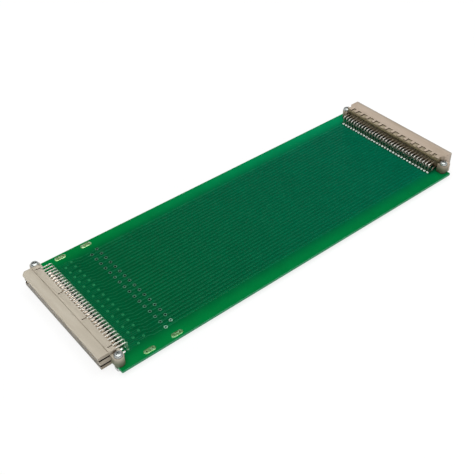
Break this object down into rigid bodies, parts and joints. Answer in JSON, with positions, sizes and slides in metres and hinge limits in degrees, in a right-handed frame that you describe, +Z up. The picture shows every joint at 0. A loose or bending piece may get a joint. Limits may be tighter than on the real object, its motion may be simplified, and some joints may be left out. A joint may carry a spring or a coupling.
{
  "type": "extender card",
  "caption": "Long circuit board extender with a right-angle pin connector on one end and the matching socket connector on the other, joined by straight parallel traces.",
  "frame": {"origin": "under the middle of the card, on the plane that the four screw ends stand on", "axes": "+X along the card from the pin connector to the socket connector, +Z up out of the wired face"},
  "size_m": [0.278, 0.1, 0.0139],
  "materials": {
    "board": "satin",
    "trace": "satin",
    "solder": "satin",
    "housing": "matte",
    "contact": "polished",
    "fastener": "polished"
  },
  "bodies": {
    "root": {"board": "board", "top_traces": "trace", "bottom_traces": "trace", "test_lands": "solder", "edge_lands": "solder", "male_housing": "housing", "female_housing": "housing", "male_contacts_row_a": "contact", "male_contacts_row_c": "contact", "female_contacts_row_a": "contact", "female_contacts_row_c": "contact", "screws": "fastener", "nuts": "fastener"}
  },
  "joints": []
}
